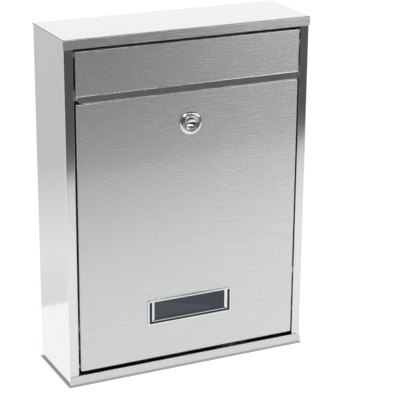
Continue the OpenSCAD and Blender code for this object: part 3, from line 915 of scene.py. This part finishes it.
low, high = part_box("cam_screw")
seat_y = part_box("cam_washer")[1].y
t = np.linspace(0, math.pi / 2, 9)
head = np.column_stack([high.x * np.cos(t) ** 0.7, high.y - 1.2 * mm * (1 - np.sin(t))])
profile = np.concatenate([[(0, low.y), (screw_r - 0.4 * mm, low.y),
                           (screw_r, low.y + 0.4 * mm), (screw_r, seat_y),
                           (high.x - 0.1 * mm, seat_y), (high.x, seat_y + 0.1 * mm)], head])
screw = build("cross_head_screw", revolve(profile[:, 0], profile[:, 1], (0, 0, lock_z), "y",
                                          closed=False))
for wide, tall in ((2.2 * mm, 0.45 * mm), (0.45 * mm, 2.2 * mm)):
    cut(screw, block((-wide, high.y - mm, lock_z - tall), (wide, high.y + mm, lock_z + tall)))
fit(screw, "lock_core", "zinc_hardware", zinc, "cam_screw")


def ease_node(name, finish, width, smooth=30):
    """Finishes a plain plate as the frame has it: eased edges and a material."""
    piece = frame["nodes"][name]
    piece.data.materials.clear()
    piece.data.materials.append(finish)
    weld = piece.modifiers.new("weld", "WELD")
    weld.merge_threshold = 1e-6
    ease = piece.modifiers.new("ease", "BEVEL")
    ease.width, ease.segments = width, 2
    ease.limit_method, ease.angle_limit = "ANGLE", math.radians(smooth)


# The wafers take the darkened brass: painted shade inside the keyway.
ease_node("lock_wafers", keyway_shade_brass, 0.08 * mm)


# ---- Name plate ----
# A chrome-plated frame with a groove down its sides and along its foot, whose floor is black:
# painted shade in the groove.
# Behind its clear window lies a slate card, held by a moulded plate that clips on inside the
# door.

low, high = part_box("name_frame")
rim, groove_w, groove_foot, groove_h, wall = 1.3 * mm, 2.4 * mm, 2.0 * mm, 0.9 * mm, 0.7 * mm
tube = (glass_low.x - wall, face_y - 0.5 * mm, glass_low.z - wall)
tube_end = (glass_high.x + wall, high.y, glass_high.z + wall)


def eased_block(low, high, ease, corner):
    """A block whose corners seen from the front have the radius corner, and whose front
    and back edges are eased by a quarter round."""
    steps = [(ease * (1 - math.sin(t)), low[1] + ease * (1 - math.cos(t)))
             for t in np.linspace(0, math.pi / 2, 4)]
    steps += [(d, low[1] + high[1] - y) for d, y in steps[::-1]]
    return rounded_rings(low, high, corner, steps)


def flared(low, high, flare):
    """A block that widens towards the front, by flare at its left, right, foot and top."""
    points, faces = block(low, high)
    front = points[:, 1] < (low[1] + high[1]) / 2
    left, right = points[:, 0] == low[0], points[:, 0] == high[0]
    foot, top = points[:, 2] == low[2], points[:, 2] == high[2]
    points[:, 0] += front * (right * flare[1] - left * flare[0])
    points[:, 2] += front * (top * flare[3] - foot * flare[2])
    return points, faces


def moulded_plastic(name):
    """Injection-moulded ABS, black, with a fine spark-eroded texture 0.3 mm across."""
    made, tree, output = material(name)
    place = node(tree, "ShaderNodeTexCoord").outputs["Object"]
    pits = node(tree, "ShaderNodeTexNoise", {"Vector": place, "Scale": 1 / (0.3 * mm),
                                             "Detail": 2.0}).outputs["Fac"]
    tint = node(tree, "ShaderNodeValToRGB", {"Fac": pits})
    tint.color_ramp.elements[0].color = srgb("#18191b")
    tint.color_ramp.elements[1].color = srgb("#26282b")
    bump = node(tree, "ShaderNodeBump", {"Height": pits, "Strength": 0.5,
                                         "Distance": 0.03 * mm}).outputs[0]
    shader = node(tree, "ShaderNodeBsdfPrincipled",
                  {"Base Color": tint.outputs["Color"], "Roughness": 0.5, "IOR": 1.53,
                   "Normal": bump})
    tree.links.new(shader.outputs[0], output.inputs["Surface"])
    return made


plate = build("plate_frame", eased_block(low, (high.x, face_y, high.z), 0.2 * mm, 1.0 * mm))
cut(plate, block((glass_low.x, low.y - mm, glass_low.z), (glass_high.x, 0, glass_high.z)))
cut(plate, flared((glass_low.x, low.y - 0.01 * mm, glass_low.z),
                  (glass_high.x, face_y - 0.6 * mm, glass_high.z),
                  [v * mm for v in (1.9, 1.9, 1.1, 0.01)]))
left, right, foot, top = low.x + rim, high.x - rim, low.z + rim, high.z - rim
for x0, x1, z1 in ((left, left + groove_w, top), (right - groove_w, right, top),
                   (left + mm, right - mm, foot + groove_foot)):
    cut(plate, block((x0, low.y - mm, foot), (x1, low.y + groove_h, z1)))
sleeve = build("sleeve", block(tube, tube_end))
cut(sleeve, block((glass_low.x, low.y - mm, glass_low.z), (glass_high.x, 0, glass_high.z)))
join = bmesh.new()
join.from_mesh(plate.data)
join.from_mesh(sleeve.data)
join.to_mesh(plate.data)
join.free()
bpy.data.objects.remove(sleeve)
plate.data.set_sharp_from_angle(angle=math.radians(35))
ease = plate.modifiers.new("ease", "BEVEL")
ease.width, ease.segments = 0.12 * mm, 2
ease.limit_method, ease.angle_limit = "ANGLE", math.radians(40)
fit(plate, "door", "chrome_plate", bright_chrome, "name_frame")
# The groove floors take black plastic: painted shade in the groove.
plate.data.materials.append(moulded_plastic("painted_groove_shade"))
for face in plate.data.polygons:
    face.material_index = int(abs(face.center.y - low.y - groove_h) < 0.1 * mm)


def clear_acrylic(name):
    """Cast acrylic, polished: clear, with a hardly visible flow in its surface."""
    made, tree, output = material(name)
    place = node(tree, "ShaderNodeTexCoord").outputs["Object"]
    flow = node(tree, "ShaderNodeTexNoise", {"Vector": place,
                                             "Scale": 1 / (12 * mm)}).outputs["Fac"]
    bump = node(tree, "ShaderNodeBump", {"Height": flow, "Strength": 0.3,
                                         "Distance": 0.03 * mm}).outputs[0]
    shader = node(tree, "ShaderNodeBsdfPrincipled",
                  {"Base Color": srgb("#5b6670"), "Roughness": 0.06, "IOR": 1.49,
                   "Alpha": 0.4, "Normal": bump})
    tree.links.new(shader.outputs[0], output.inputs["Surface"])
    return made


def card_stock(name):
    """Uncoated slate-grey card: matt, with paper fibres about 0.5 mm apart."""
    made, tree, output = material(name)
    place = node(tree, "ShaderNodeTexCoord").outputs["Object"]
    fibres = node(tree, "ShaderNodeTexNoise",
                  {"Vector": node(tree, "ShaderNodeMapping",
                                  {"Vector": place, "Scale": (900, 2000, 2000)}).outputs[0],
                   "Scale": 1.0, "Detail": 4.0}).outputs["Fac"]
    tint = node(tree, "ShaderNodeValToRGB", {"Fac": fibres})
    tint.color_ramp.elements[0].color = srgb("#5a636d")
    tint.color_ramp.elements[1].color = srgb("#6c757f")
    bump = node(tree, "ShaderNodeBump", {"Height": fibres, "Strength": 0.4,
                                         "Distance": 0.03 * mm}).outputs[0]
    shader = node(tree, "ShaderNodeBsdfPrincipled",
                  {"Base Color": tint.outputs["Color"], "Roughness": 0.85,
                   "Normal": bump})
    tree.links.new(shader.outputs[0], output.inputs["Surface"])
    return made


ease_node("name_window", clear_acrylic("clear_acrylic"), 0.12 * mm)
ease_node("name_card", card_stock("slate_card"), 0.05 * mm)
low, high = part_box("name_backplate")
fit(build("clip_plate", eased_block(low, high, 0.4 * mm, 1.5 * mm)),
    "door", "black_plastic", moulded_plastic("black_abs"), "name_backplate")
